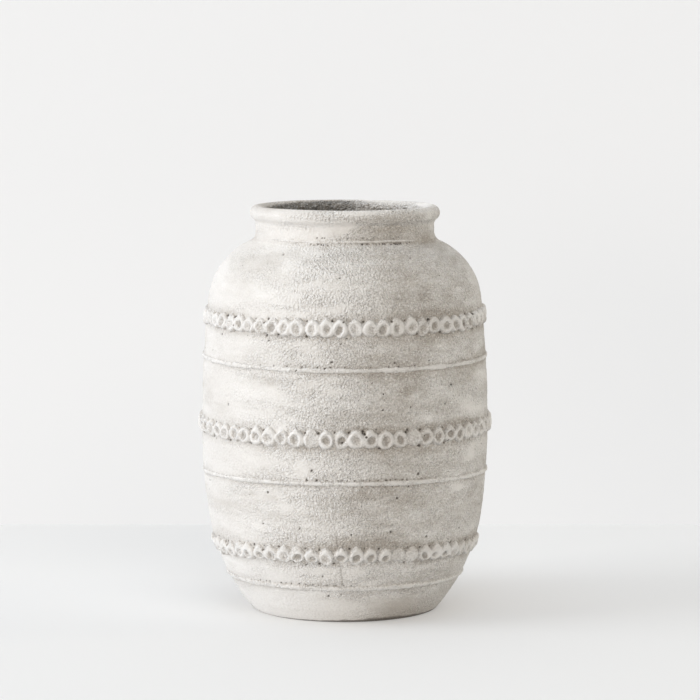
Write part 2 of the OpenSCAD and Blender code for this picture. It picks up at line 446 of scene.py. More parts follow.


# How worn and stained the wash is, with painted shade and painted light in it: strengths of stain, places as
# angles from the front and heights, and bell widths
wearAndShade = dict(
    level=0.18,
    broad=0.48, fine=0.27, leftCalm=0.82, footCalm=0.6,  # streaks that run round the jar
    # clean: a lighter patch left of the front, partly cleaner wash and partly painted light
    cleanAndLit=0.15, cleanAndLitAt=-16, cleanAndLitWide=26,  # left of the front
    # beside the rings: dirt and painted shade, more below the coils as painted shadow; between the pellets:
    # grime and painted shade
    bandDirtAndShade=0.54, dirtAndShadeAboveCoil=0.32, dirtAndShadeBelowCoil=0.62,  # beside the rings
    notchDirtAndShade=0.5, notchTop=5.4, notchFoot=-5.8,  # between the pellets
    # the foot: darker towards its lower edge right of the front, dirt and painted contact shade; lighter in
    # front, thicker wash and painted light
    footTop=(14, 25), footCleanAndLit=0.4, footDirtAndShade=0.9, footDirtAndShadeAt=28, footDirtAndShadeWide=20,  # the foot
    # right: darker right of the front, most round the middle height, dirt and painted shade on the side away
    # from the lamps
    rightAt=25, rightWide=20, right=0.08, rightMost=0.20, rightHeight=150, rightTall=65,  # right of the front
    # seen scales the listed patches of stain, painted shade and painted light
    seen=0.8,  # the stains in the list
)

# How thick the wash is: cloudy, thinner in front, thicker on the left and on the foot; the thicker, lighter
# wash on the left and on the foot is partly painted light
coat = dict(level=0.34, clouds=0.16, front=0.06, frontAt=10, frontWide=24, left=0.27, foot=0.34)


def frontShare(angle):
    # 1 just left of the front and 0 away from there
    return bell(degreesFrom(angle, front - 12), 0, 55)


def leftShare(angle):
    # 1 on the left of the front, where the wash is thick and even and partly painted light, and 0 away from
    # there
    return bell(degreesFrom(angle, front - 60), 0, 39)


def footShare(points):
    # 1 on the foot and 0 from the lowest coil up
    return 1 - eased(*wearAndShade["footTop"], points[..., 2])


def streakField(points, angle):
    # Broad and fine noise that is drawn out round the jar, calmer on the left and on the foot
    broad = clayNoise(points, (70, 70, 17), 11.0) + 0.6 * clayNoise(points, (30, 30, 8), 12.0)
    streaks = wearAndShade["broad"] * broad + wearAndShade["fine"] * clayNoise(points, (11, 11, 4), 13.0)
    return streaks * (1 - wearAndShade["leftCalm"] * leftShare(angle)) * (1 - wearAndShade["footCalm"] * footShare(points))


def ringDirtAndShade(points, angle):
    # Patchy dirt and painted shade beside each ring, as bell curves over its edges, with painted shadow below
    # the coils, and grime and painted shade between a band's pellets, as a power of a sine along the band;
    # less of it on the left, and more right of the front between the pellets
    calm = leftShare(angle)
    patchy = 0.7 + 0.6 * clayNoise(points, (34, 34, 20), 14.0) + 0.5 * clayNoise(points, (5, 5, 3), 17.0)
    patchy = patchy * (1 - 0.5 * calm)
    grimyAndShaded = 1 - 0.6 * calm + 0.9 * bell(degreesFrom(angle, front), 30, 30)
    dirtAndShade = np.zeros(points.shape[:-1])
    for ring in rings.values():
        above = points[..., 2] - ringHeight(ring, angle)
        beside = np.abs(above) - ring["half"]
        if "pellets" in ring:
            dirtAndShade += wearAndShade["bandDirtAndShade"] * bell(beside, 0, np.where(above > 0, 3.2, 2.6)) * patchy
            notch = np.sin(np.radians(degreesFrom(angle, firstPellet) * ring["pellets"] / 2)) ** 4
            tall = bell(above, wearAndShade["notchTop"], 2.0) + 0.7 * bell(above, wearAndShade["notchFoot"], 1.8)
            dirtAndShade += wearAndShade["notchDirtAndShade"] * notch * tall * grimyAndShaded
        else:
            # coils: more below than above, painted shadow under the coil as well as dirt
            share = np.where(above > 0, wearAndShade["dirtAndShadeAboveCoil"], wearAndShade["dirtAndShadeBelowCoil"])
            dirtAndShade += share * bell(beside, 0, np.where(above > 0, 1.6, 1.3)) * patchy
    return dirtAndShade


def stainAndShadeField(points, angle):
    # How stained the wash is, with painted shade and painted light in it: streaks; dirt and painted shade
    # beside the rings; a lighter patch left of the front and a lighter foot in front, partly painted light; a
    # darker right side and a foot darker towards its lower edge right of the front, partly painted shade; and
    # the listed patches
    w = wearAndShade
    height = points[..., 2]
    fromFront = degreesFrom(angle, front)
    field = w["level"] + streakField(points, angle) + ringDirtAndShade(points, angle)
    # lighter left of the front: cleaner wash and painted light
    field -= w["cleanAndLit"] * bell(fromFront, w["cleanAndLitAt"], w["cleanAndLitWide"])
    # the foot: darker towards its lower edge right of the front, dirt and painted contact shade, and lighter
    # in front, thicker wash and painted light
    footDirtAndShade = w["footDirtAndShade"] - 0.2 * eased(0, 10, height)
    footDirtAndShade = footDirtAndShade * bell(fromFront, w["footDirtAndShadeAt"], w["footDirtAndShadeWide"])
    field += footShare(points) * (footDirtAndShade - w["footCleanAndLit"] * frontShare(angle))
    # darker right of the front: dirt and painted shade
    dirtyAndShaded = w["right"] + w["rightMost"] * bell(height, w["rightHeight"], w["rightTall"])
    field += dirtyAndShaded * bell(fromFront, w["rightAt"], w["rightWide"])
    mottle = 0.85 + 0.8 * clayNoise(points, (16, 16, 6), 15.0)
    for middle, level, wide, tall, strength in stainAndShadePatches:
        field += w["seen"] * strength * bell(fromFront, middle, wide) * bell(height, level, tall) * mottle
    return field


def chalkField(points, angle):
    # How thick the wash is: a cloudy level, and the front, the left and the foot as bell curves; the left and
    # the foot are partly painted light
    sandy = bell(degreesFrom(angle, front), coat["frontAt"], coat["frontWide"])
    cloudy = coat["level"] - coat["front"] * sandy + coat["clouds"] * clayNoise(points, (30, 30, 13), 16.0)
    return cloudy + coat["left"] * leftShare(angle) + coat["foot"] * footShare(points) * frontShare(angle)


def insideBox(points):
    # Keeps a hair inside the CAD model's box
    hair = 0.02
    low = np.array(cadBox[0]) / mm + hair * np.array([1, 1, 0])
    high = np.array(cadBox[1]) / mm - hair
    return np.clip(points, low, high)


def layPiece(name, node, finish, grid, tint, capped=False, creases=()):
    # Puts a grid of points, rows by columns, into a mesh. Columns close round the jar. Rows close too,
    # unless the piece is capped: then its first and last row run into a pole each.
    rows, cols = grid.shape[:2]
    index = np.arange(rows * cols).reshape(rows, cols)
    lower, upper = (index[:-1], index[1:]) if capped else (index, np.roll(index, -1, axis=0))
    quads = np.stack([lower, np.roll(lower, -1, 1), np.roll(upper, -1, 1), upper], axis=-1).reshape(-1, 4)
    points = grid.reshape(-1, 3)
    colours = tint.reshape(-1, 4)
    fans = np.empty((0, 3), int)
    if capped:
        poles = np.stack([grid[0].mean(axis=0), grid[-1].mean(axis=0)])
        points = np.concatenate([points, poles])
        colours = np.concatenate([colours, colours[[0, -1]]])
        first = np.stack([np.full(cols, rows * cols), np.roll(index[0], -1), index[0]], axis=-1)
        last = np.stack([index[-1], np.roll(index[-1], -1), np.full(cols, rows * cols + 1)], axis=-1)
        fans = np.concatenate([first, last])
    corners = np.concatenate([quads.ravel(), fans.ravel()]).astype(np.int32)
    sizes = np.concatenate([np.full(len(quads), 4), np.full(len(fans), 3)])
    mesh = bpy.data.meshes.new(name)
    mesh.vertices.add(len(points))
    mesh.vertices.foreach_set("co", (insideBox(points) * mm).astype(np.float32).ravel())
    mesh.loops.add(len(corners))
    mesh.loops.foreach_set("vertex_index", corners)
    mesh.polygons.add(len(sizes))
    mesh.polygons.foreach_set("loop_start", (np.cumsum(sizes) - sizes).astype(np.int32))
    mesh.polygons.foreach_set("use_smooth", np.ones(len(sizes), bool))
    mesh.update(calc_edges=True)
    mesh.validate()
    if len(creases):  # corners of the section stay crisp
        ends = np.empty(len(mesh.edges) * 2, np.int32)
        mesh.edges.foreach_get("vertices", ends)
        row = ends.reshape(-1, 2) // cols
        sharp = mesh.attributes.new("sharp_edge", "BOOLEAN", "EDGE")
        sharp.data.foreach_set("value", (row[:, 0] == row[:, 1]) & np.isin(row[:, 0], creases))
    clay = mesh.attributes.new("clay", "FLOAT_COLOR", "POINT")
    clay.data.foreach_set("color", colours.astype(np.float32).ravel())
    mesh.materials.append(finish)
    piece = bpy.data.objects.new(name, mesh)
    bpy.context.scene.collection.objects.link(piece)
    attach(piece, "root")
    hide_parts(node)
    print(name, "laid:", len(quads) * 2 + len(fans), "triangles")


def roundGrid(r, z, nr, nz, cols):
    # Turns a section round the axis: points and normals, rows by columns, and each column's angle
    angle = np.arange(cols) * 360 / cols
    c, s = np.cos(np.radians(angle)), np.sin(np.radians(angle))

    def turned(out, up):
        sides = [np.multiply.outer(out, c), np.multiply.outer(out, s), np.repeat(up[:, None], cols, 1)]
        return np.stack(sides, axis=-1)

    return turned(r, z), turned(nr, nz), angle


def tints(stainAndShade, hollow, inside, chalk):
    # One colour attribute: red how stained, with painted shade in it, green how deep in a hollow, and above 1
    # in a pinhole or at the foot's standing edge, where it is painted contact shade, blue how much of the
    # dark inside shows, partly painted shade, alpha how chalky; a stain below zero is thicker chalk, partly
    # painted light
    chalk = np.clip(chalk + 0.6 * np.maximum(-stainAndShade, 0), 0, 1)
    return np.stack(np.broadcast_arrays(np.clip(stainAndShade, 0, 1), hollow, inside, chalk), axis=-1)


print("outline and relief ready")


def addNode(tree, kind, settings=None, **sockets):
    # A shader node with its settings and its input values; spaces in socket names are written as underscores
    node = tree.nodes.new(kind)
    for key, value in (settings or {}).items():
        setattr(node, key, value)
    for key, value in sockets.items():
        node.inputs[key.replace("_", " ")].default_value = value
    return node


def feed(tree, socket, value):
    # Links a socket to another, or sets it to a fixed value; a colour gets its alpha
    if isinstance(value, bpy.types.NodeSocket):
        tree.links.new(value, socket)
    else:
        socket.default_value = value if socket.type == "VALUE" else (*value, 1)


def mixColour(tree, share, first, second):
    # Colour mix; each of share, first and second is a socket or a fixed value
    node = addNode(tree, "ShaderNodeMix", dict(data_type="RGBA"))
    for slot, value in zip((0, 6, 7), (share, first, second)):
        feed(tree, node.inputs[slot], value)
    return node.outputs[2]


def sums(tree, how, first, second):
    # One step of arithmetic on sockets or fixed values, held between 0 and 1
    node = addNode(tree, "ShaderNodeMath", dict(operation=how, use_clamp=True))
    feed(tree, node.inputs[0], first)
    feed(tree, node.inputs[1], second)
    return node.outputs[0]


def spread(tree, value, fromLow, fromHigh, toLow=0.0, toHigh=1.0):
    # Maps a range of a socket's values to another, with a smooth S
    node = addNode(tree, "ShaderNodeMapRange", dict(interpolation_type="SMOOTHSTEP"), From_Min=fromLow,
                   From_Max=fromHigh, To_Min=toLow, To_Max=toHigh)
    tree.links.new(value, node.inputs["Value"])
    return node.outputs["Result"]


def noiseOn(tree, coords, stretch, detail, roughness=0.55):
    # Noise on the piece's own coordinates; stretch gives the cells per metre along x, y and z
    place = addNode(tree, "ShaderNodeMapping", Scale=stretch)
    noise = addNode(tree, "ShaderNodeTexNoise", Scale=1.0, Detail=detail, Roughness=roughness)
    tree.links.new(coords, place.inputs["Vector"])
    tree.links.new(place.outputs["Vector"], noise.inputs["Vector"])
    return noise.outputs["Fac"]


# Colours of the finishes, how coarse and deep their grain is, and how strongly each layer shows. The stain,
# grime, inside and pinhole colours also paint shade, and the speck colour paints the grain's highlights in
# part
washLook = dict(
    chalk=(0.77, 0.748, 0.718), wash=(0.66, 0.634, 0.602), stainAndShade=(0.35, 0.306, 0.258),
    grimeAndShade=(0.27, 0.245, 0.214), inside=(0.22, 0.216, 0.208), pinhole=(0.08, 0.07, 0.06),
    speck=(0.93, 0.92, 0.90), streaks=(20, 20, 85), grain=710, sand=760, holes=77.0, bump=0.0030,
    roughness=0.93, specular=0.18, stainAndShadeShare=0.72, streakShare=0.22, darkSandAndShade=0.42, lightSandAndHighlight=0.40,
    thickWash=0.22, hollowShare=0.5, pinholeShare=0.85,
)
bandLook = dict(washLook, chalk=(0.75, 0.732, 0.708), wash=(0.65, 0.626, 0.596), bump=0.0017)


def clayFinish(name, look):
    # Limewash over sandy clay. Stain with painted shade, hollows, and the dark inside, partly painted shade,
    # come from the piece's clay attribute; brushed streaks, sand and pinholes are noise on object
    # coordinates; the sand's dark and light specks and the near-black pinholes paint shade and highlight in
    # part, and the sand also lifts the surface.
    finish = bpy.data.materials.new(name)
    finish.use_nodes = True
    tree = finish.node_tree
    shader = tree.nodes["Principled BSDF"]
    shader.inputs["Roughness"].default_value = look["roughness"]
    shader.inputs["Specular IOR Level"].default_value = look["specular"]
    coords = addNode(tree, "ShaderNodeTexCoord").outputs["Object"]
    clay = addNode(tree, "ShaderNodeAttribute", dict(attribute_name="clay"))
    parts = addNode(tree, "ShaderNodeSeparateColor")
    tree.links.new(clay.outputs["Color"], parts.inputs["Color"])
    stainAndShade, hollow, inside = parts.outputs[0], parts.outputs[1], parts.outputs[2]
    chalk = clay.outputs["Alpha"]

    streaks = noiseOn(tree, coords, look["streaks"], 5.0, 0.62)
    grain = noiseOn(tree, coords, (look["grain"],) * 3, 0.3, 0.6)
    sand = noiseOn(tree, coords, (look["sand"],) * 3, 1.0)

    stainedAndShaded = sums(tree, "ADD", stainAndShade, spread(tree, streaks, 0.50, 0.78, 0.0, look["streakShare"]))
    colour = mixColour(tree, chalk, look["wash"], look["chalk"])
    colour = mixColour(tree, sums(tree, "MULTIPLY", stainedAndShaded, look["stainAndShadeShare"]), colour, look["stainAndShade"])
    colour = mixColour(tree, inside, colour, look["inside"])
    bare = spread(tree, chalk, 0.32, 0.66, 1.0, look["thickWash"])  # sand shows less through thick wash
    # Dark and light sand specks: partly the sand's own colour, partly painted shade and painted highlight of
    # the grain
    dark = sums(tree, "MULTIPLY", spread(tree, sand, 0.52, 0.24, 0.0, look["darkSandAndShade"]), bare)
    light = sums(tree, "MULTIPLY", spread(tree, sand, 0.50, 0.76, 0.0, look["lightSandAndHighlight"]), bare)
    colour = mixColour(tree, dark, colour, look["grimeAndShade"])
    colour = mixColour(tree, light, colour, look["speck"])
    # Hollows take the grime colour; pinholes, notch holes and the foot's standing edge take the near-black
    # pinhole colour, painted shade in the holes and gaps
    colour = mixColour(tree, spread(tree, hollow, 0.55, 1.0, 0.0, look["hollowShare"]), colour, look["grimeAndShade"])
    deep = spread(tree, hollow, 1.0, 1.7, 0.0, look["pinholeShare"])
    colour = mixColour(tree, deep, colour, look["pinhole"])
    holes = addNode(tree, "ShaderNodeTexVoronoi", Scale=look["holes"])
    tree.links.new(coords, holes.inputs["Vector"])
    pinhole = spread(tree, holes.outputs["Distance"], 0.052, 0.030)
    colour = mixColour(tree, sums(tree, "MULTIPLY", pinhole, bare), colour, look["pinhole"])
    tree.links.new(colour, shader.inputs["Base Color"])

    height = sums(tree, "ADD", sums(tree, "MULTIPLY", grain, 0.7), sums(tree, "MULTIPLY", sand, 0.3))
    height = sums(tree, "SUBTRACT", height, sums(tree, "MULTIPLY", pinhole, 0.4))
    bump = addNode(tree, "ShaderNodeBump", Distance=look["bump"])
    tree.links.new(bare, bump.inputs["Strength"])
    tree.links.new(height, bump.inputs["Height"])
    tree.links.new(bump.outputs["Normal"], shader.inputs["Normal"])
    return finish


washedClay = clayFinish("washedClay", washLook)
raisedClay = clayFinish("raisedClay", bandLook)
footClay = clayFinish("footClay", washLook)
print("finishes ready")

# The wall's rings: name, CAD node and the heights that they run between; and how fine their grid is
wallRings = [
    dict(name="footRing", node="foot_wall", low=jar["footJoint"], high=jar["lowerJoint"]),
    dict(name="lowerBellyRing", node="lower_belly", low=jar["lowerJoint"], high=jar["middleJoint"]),
    dict(name="upperBellyRing", node="upper_belly", low=jar["middleJoint"], high=jar["upperJoint"]),
    dict(name="shoulderRing", node="shoulder", low=jar["upperJoint"], high=jar["neckJoint"]),
    dict(name="collarRing", node="neck_collar", low=jar["neckJoint"], high=jar["collarTop"]),
]
wallGrid = dict(cols=740, outerStep=0.95, innerStep=4.0)

# The inside: scraped lumps and grain in millimetres, its stain and hollows, and how much of its dark colour
# shows at least, and how much more on the left, where it is painted shade as well as darker clay
inner = dict(lumps=0.35, lumpsSize=14, grain=0.25, grainSize=3.6, stainAndShade=0.5, hollow=0.5,
             dark=0.12, darker=0.86)


def insideRelief(points):
    # The inside is scraped, not smoothed: broad lumps and coarse grain
    lumps = inner["lumps"] * clayNoise(points, inner["lumpsSize"], 21.0)
    return lumps + inner["grain"] * clayNoise(points, inner["grainSize"], 22.0)


def insideShare(angle):
    # How much of the dark inside colour shows at an angle: all of it on the left, as painted shade where the
    # inner wall faces away from the lamps, and little on the right
    return inner["dark"] + inner["darker"] * (1 - eased(-0.25, 0.5, np.cos(np.radians(angle))))


def wallRing(ring):
    # A ring's section runs up the outside and down the inside, and turns round the axis
    g = wallGrid
    ends = [(lengthAt(line, ring["low"]), lengthAt(line, ring["high"])) for line in (outerLine, innerLine)]
    counts = [int((b - a) / step) + 2 for (a, b), step in zip(ends, (g["outerStep"], g["innerStep"]))]
    outer = along(outerLine, np.linspace(*ends[0], counts[0]))
    r, z, nr, nz = along(innerLine, np.linspace(*ends[1], counts[1])[::-1])
    section = [np.concatenate(pair) for pair in zip(outer, (r, z, -nr, -nz))]
    points, normals, angle = roundGrid(*section, g["cols"])
    n = counts[0]
    height, hollow, holes = wallRelief(points[:n])
    rise = np.concatenate([height, insideRelief(points[n:])])
    stainAndShade = np.concatenate([stainAndShadeField(points[:n], angle), np.full(points[n:].shape[:2], inner["stainAndShade"])])
    depth = np.concatenate([np.maximum(hollow, 2 * holes), np.full(points[n:].shape[:2], inner["hollow"])])
    # the inner rows take the dark inside colour, partly darker clay and partly painted shade on the left
    within = np.repeat([0.0, 1.0], counts)[:, None] * insideShare(angle)
    tint = tints(stainAndShade, depth, within, chalkField(points, angle) * (within == 0))
    grid = points + normals * rise[..., None]
    corners = [0, n - 1, n, n + counts[1] - 1]
    layPiece(ring["name"], ring["node"], washedClay, grid, tint, creases=corners)


for ring in wallRings:
    wallRing(ring)

# The slab that the jar stands on: its grid, the small circle that its section starts from, its stain and
# hollows below, and the dark line where it stands, dirt and painted contact shade, which is less on the left
# and reaches higher on the right of the front
slab = dict(cols=540, step=1.4, edge=3, edgeRows=8, underStep=3, lidRows=24, start=0.8,
            stainAndShade=0.9, hollow=0.4, standDirtAndShade=0.35, standTop=2.5,
            dirtAndShade=2.3, dirtAndShadeBy=0.9, dirtAndShadeSize=(7, 7, 4), dirtAndShadeDepth=1.45, dirtAndShadeLeft=0.75,
            dirtAndShadeRight=1.4, dirtAndShadeAt=27, dirtAndShadeWide=25)


def floorDisc():
    # Section from the axis along the hollow underside, over the standing ring, up the foot and back along
    # the top
    j, d = jar, slab
    deep = j["hollowDepth"]
    hollow = np.array([[d["start"], deep], [j["hollowRadius"] - deep, deep],
                       [j["hollowRadius"], 0.0], [outerLine["r"][0], 0.0]])
    under = np.concatenate([np.linspace(a, b, max(3, int(np.hypot(*(b - a)) / d["underStep"])))[:-1]
                            for a, b in zip(hollow[:-1], hollow[1:])])
    top = lengthAt(outerLine, j["footJoint"])
    side = np.concatenate([np.linspace(0, d["edge"], d["edgeRows"]),
                           np.linspace(d["edge"], top, int(top / d["step"]) + 2)[1:]])
    r, z, nr, nz = along(outerLine, side)
    lid = np.linspace([r[-1], z[-1]], [d["start"], z[-1]], d["lidRows"])[1:]
    section = np.concatenate([under, np.stack([r, z], 1), lid])
    down = np.tile([0, -1.0], (len(under), 1))
    up = np.tile([0, 1.0], (len(lid), 1))
    normal = np.concatenate([down, np.stack([nr, nz], 1), up])
    points, normals, angle = roundGrid(*section.T, *normal.T, d["cols"])
    n, m = len(under), len(under) + len(r)
    foot = points[n:m]
    height, hollowed, holes = wallRelief(foot)
    rise = np.zeros(points.shape[:2])
    rise[n:m] = height * eased(0.2, 3.0, z)[:, None]
    rise[m:] = insideRelief(points[m:]) * eased(0, 6, np.arange(len(lid)))[:, None]
    stainAndShade = np.full(points.shape[:2], d["stainAndShade"])
    # darker over the lowest few millimetres: dirt and painted contact shade
    standing = d["standDirtAndShade"] * (1 - eased(0, d["standTop"], z))
    stainAndShade[n:m] = np.clip(stainAndShadeField(foot, angle) + standing[:, None], 0, 1)
    # the dark line at the standing edge, through the hollow channel up to the near-black pinhole colour: dirt
    # and painted contact shade
    dirtAndShade = d["dirtAndShade"] + d["dirtAndShadeBy"] * clayNoise(foot, d["dirtAndShadeSize"], 61.0)
    dirtAndShade = dirtAndShade * (1 - d["dirtAndShadeLeft"] * leftShare(angle))
    dirtAndShade = dirtAndShade * (1 + d["dirtAndShadeRight"] * bell(degreesFrom(angle, front), d["dirtAndShadeAt"], d["dirtAndShadeWide"]))
    dirtyAndShaded = d["dirtAndShadeDepth"] * (1 - eased(0.4 * dirtAndShade, dirtAndShade, z[:, None]))
    depth = np.full(points.shape[:2], d["hollow"])
    depth[n:m] = np.maximum(np.maximum(hollowed, 2 * holes), dirtyAndShaded)
    within = np.zeros(points.shape[:2])
    within[m:] = 1
    tint = tints(stainAndShade, depth, within, chalkField(points, angle) * (1 - within))
    grid = points + normals * rise[..., None]
    layPiece("floorDisc", "floor_slab", footClay, grid, tint, capped=True, creases=[n, m - 1])


floorDisc()

# The rolled lip: its grid, how far its hidden edges are sunk, its unevenness in millimetres, how high the
# dark mouth reaches on it in front and how much higher behind, which is partly painted shade, the mouth's
# roughness and pits, its stains, and its crest, which is stained on the left and worn clean on the right
rim = dict(cols=640, step=0.7, sunk=0.8, low=1.0, clear=0.05,
           sway=0.35, swaySize=45, grain=0.10, grainSize=2.2,
           strokes=0.12, strokesSize=(18, 18, 3), drop=0.225, mouthEdge=0.5, mouthRise=2.6,
           lumps=0.65, lumpsSize=(4.5, 4.5, 3), mouthGrain=0.55, mouthGrainSize=2.1, mouthDrop=0.4,
           pits=1.1, pitsSize=(3.4, 3.4, 2.2), stainAndShade=0.9, blots=0.15, blotsSize=(22, 22, 5),
           crest=(298, 302), crestTurn=(-45, 35), crestStain=0.22, crestClean=0.7)


def rolledRim():
    # Section: up a hollow fillet from the neck, round the roll and down the bore; then back inside the
    # collar's clay
    j, m = jar, rim
    centre = (j["neckRadius"] + j["rollOut"] - j["rollRadius"], j["rimTop"] - j["rollRadius"])
    filletX = j["neckRadius"] + j["rollFillet"]
    apart = j["rollRadius"] + j["rollFillet"]
    lean = math.degrees(math.acos((filletX - centre[0]) / apart))
    filletC = (filletX, centre[1] - apart * math.sin(math.radians(lean)))
    low = j["collarTop"] - m["low"]
    boreX = j["bore"] + m["clear"]
    line = measured(np.concatenate([
        arcPoints(filletC, j["rollFillet"], 180, 180 - lean),
        arcPoints(centre, j["rollRadius"], -lean, 180)[1:],
        [[boreX, centre[1] - 2.0], [boreX, low]],
    ]))
    count = int(line["s"][-1] / m["step"])
    way = np.linspace(0, line["s"][-1], count)
    r, z, nr, nz = along(line, way)
    back = np.array([[j["bore"] + m["sunk"], low], [j["neckRadius"] - m["sunk"], low],
                     [j["neckRadius"] - m["sunk"], filletC[1]]])
    section = np.concatenate([np.stack([r, z], 1), back])
    normal = np.concatenate([np.stack([nr, nz], 1), np.zeros((len(back), 2))])
    points, normals, angle = roundGrid(*section.T, *normal.T, m["cols"])
    shown = points[:count]
    rise = m["sway"] * clayNoise(points, m["swaySize"], 31.0)
    rise += m["grain"] * clayNoise(points, m["grainSize"], 32.0)
    rise += m["strokes"] * clayNoise(points, m["strokesSize"], 33.0) - m["drop"]
    rise[:count] *= eased(0, 2.0, way)[:, None]
    behind = np.square(np.clip(np.sin(np.radians(angle)), 0, 1))
    edge = j["bore"] + m["mouthEdge"] + m["mouthRise"] * behind
    mouth = eased(edge + 0.6, edge - 0.5, r[:, None])
    rough = m["lumps"] * clayNoise(shown, m["lumpsSize"], 36.0)
    rough += m["mouthGrain"] * clayNoise(shown, m["mouthGrainSize"], 37.0)
    rise[:count] += mouth * (rough - m["mouthDrop"])
    # the mouth takes more of the dark inside colour and darker pits on the left, painted shade there
    dark = insideShare(angle)
    within = np.zeros(points.shape[:2])
    within[:count] = np.clip(mouth * (1 + 0.4 * clayNoise(shown, 5, 34.0)) * dark, 0, 1)
    within[count:] = 1
    blots = m["blots"] * eased(0.1, 0.7, clayNoise(points, m["blotsSize"], 35.0))
    stainAndShade = m["stainAndShade"] * stainAndShadeField(points, angle) + blots
    worn = m["crestStain"] - m["crestClean"] * eased(*m["crestTurn"], degreesFrom(angle, front))
    stainAndShade = stainAndShade + worn * eased(*m["crest"], points[..., 2])
    hollow = 0.45 - 0.3 * clayNoise(points, 2.2, 32.0)
    pitted = 0.1 + m["pits"] * clayNoise(shown, m["pitsSize"], 38.0)
    hollow[:count] += mouth * pitted * (0.3 + 0.7 * dark)
    tint = tints(stainAndShade, hollow, within, chalkField(points, angle) * (1 - within))
    grid = points + normals * rise[..., None]
    layPiece("rolledRim", "rim_roll", washedClay, grid, tint, creases=[0, count - 1, count])


rolledRim()


def ribbon(ring, angle, t):
    # A strip of the wall along a ring: t is the way up the outline from the ring's middle, in millimetres
    middle = lengthAt(outerLine, ringHeight(ring, angle))
    r, z, nr, nz = along(outerLine, t[:, None] + middle[None, :])
    c, s = np.cos(np.radians(angle)), np.sin(np.radians(angle))
    return np.stack([r * c, r * s, z], axis=-1), np.stack([nr * c, nr * s, nz], axis=-1)


def onWall(base, normals, height, sunk):
    # Lifts a strip by its height over the swaying wall; where it has no height it dips below the wall.
    # Its edges are joined behind, inside the wall.
    dip = sunk * (eased(0.0, 0.45, height) - 1)
    shown = base + normals * (height + dip + swayField(base))[..., None]
    back = [len(base) - 1, 0]
    return np.concatenate([shown, base[back] - normals[back] * 2 * sunk])


def layRibbon(piece, grid, tint):
    # A closed strip of raised clay; the hidden back takes its first row's tint
    tint = np.concatenate([tint, np.repeat(tint[:1], len(grid) - len(tint), axis=0)])
    layPiece(piece["name"], piece["node"], raisedClay, grid, tint)


# The pressed bands, in millimetres. A pellet has a half width and reaches up to its top and down to its
# foot; it stands proud, and its flank starts at a share of the way out. The other values say how uneven a
# hand leaves the pellets and their bowls, and how much flatter the squashed ones are.
pressed = dict(halfWide=6.5, top=6.9, foot=6.4, proud=2.9, flank=0.50, roundBelow=2.3, turn=0.70, lift=0.60,
               size=0.12, height=0.18, tip=0.20, bowlSize=0.18, bowlAside=0.7, bowlShear=0.3, bowlDepth=0.35,
               flatter=0.35, shallower=0.9, grain=0.17, sunk=0.6, reach=9.2, cols=1600, rows=46)

# The wash on the bands: stain, also in the pits and right of the front, where it is partly painted shade,
# hollows and their edges, whose darkness is grime and painted shade, and chalk
bandLayer = dict(stainAndShade=0.6, pitStain=0.34, rightStainAndShade=0.15, rightAt=28, rightWide=26, hollow=0.42, grub=0.42,
                 edge=0.45, chalk=0.22, crestChalk=0.40)

# Each band's crater has a half width and a half height, sits low and has a depth. pointed is how sharp a
# pellet's top is: 2 is round, 1 is a straight-sided peak. squashed lists pellets that were pressed flat:
# angle from the front and reach, in degrees.
bands = [
    dict(name="upperPressedBand", node="upper_band", ring="upperBand", seed=11, pointed=1.5,
         craterWide=3.5, craterTall=4.1, craterLow=1.0, crater=2.0, squashed=[]),
    dict(name="middlePressedBand", node="middle_band", ring="middleBand", seed=23, pointed=1.5,
         craterWide=3.9, craterTall=4.2, craterLow=0.5, crater=1.8, squashed=[(26.5, 3.2), (-12.2, 2.2)]),
    dict(name="lowerPressedBand", node="lower_band", ring="lowerBand", seed=37, pointed=1.3,
         craterWide=3.6, craterTall=3.5, craterLow=1.8, crater=1.8, squashed=[(26.0, 7.5)]),
]


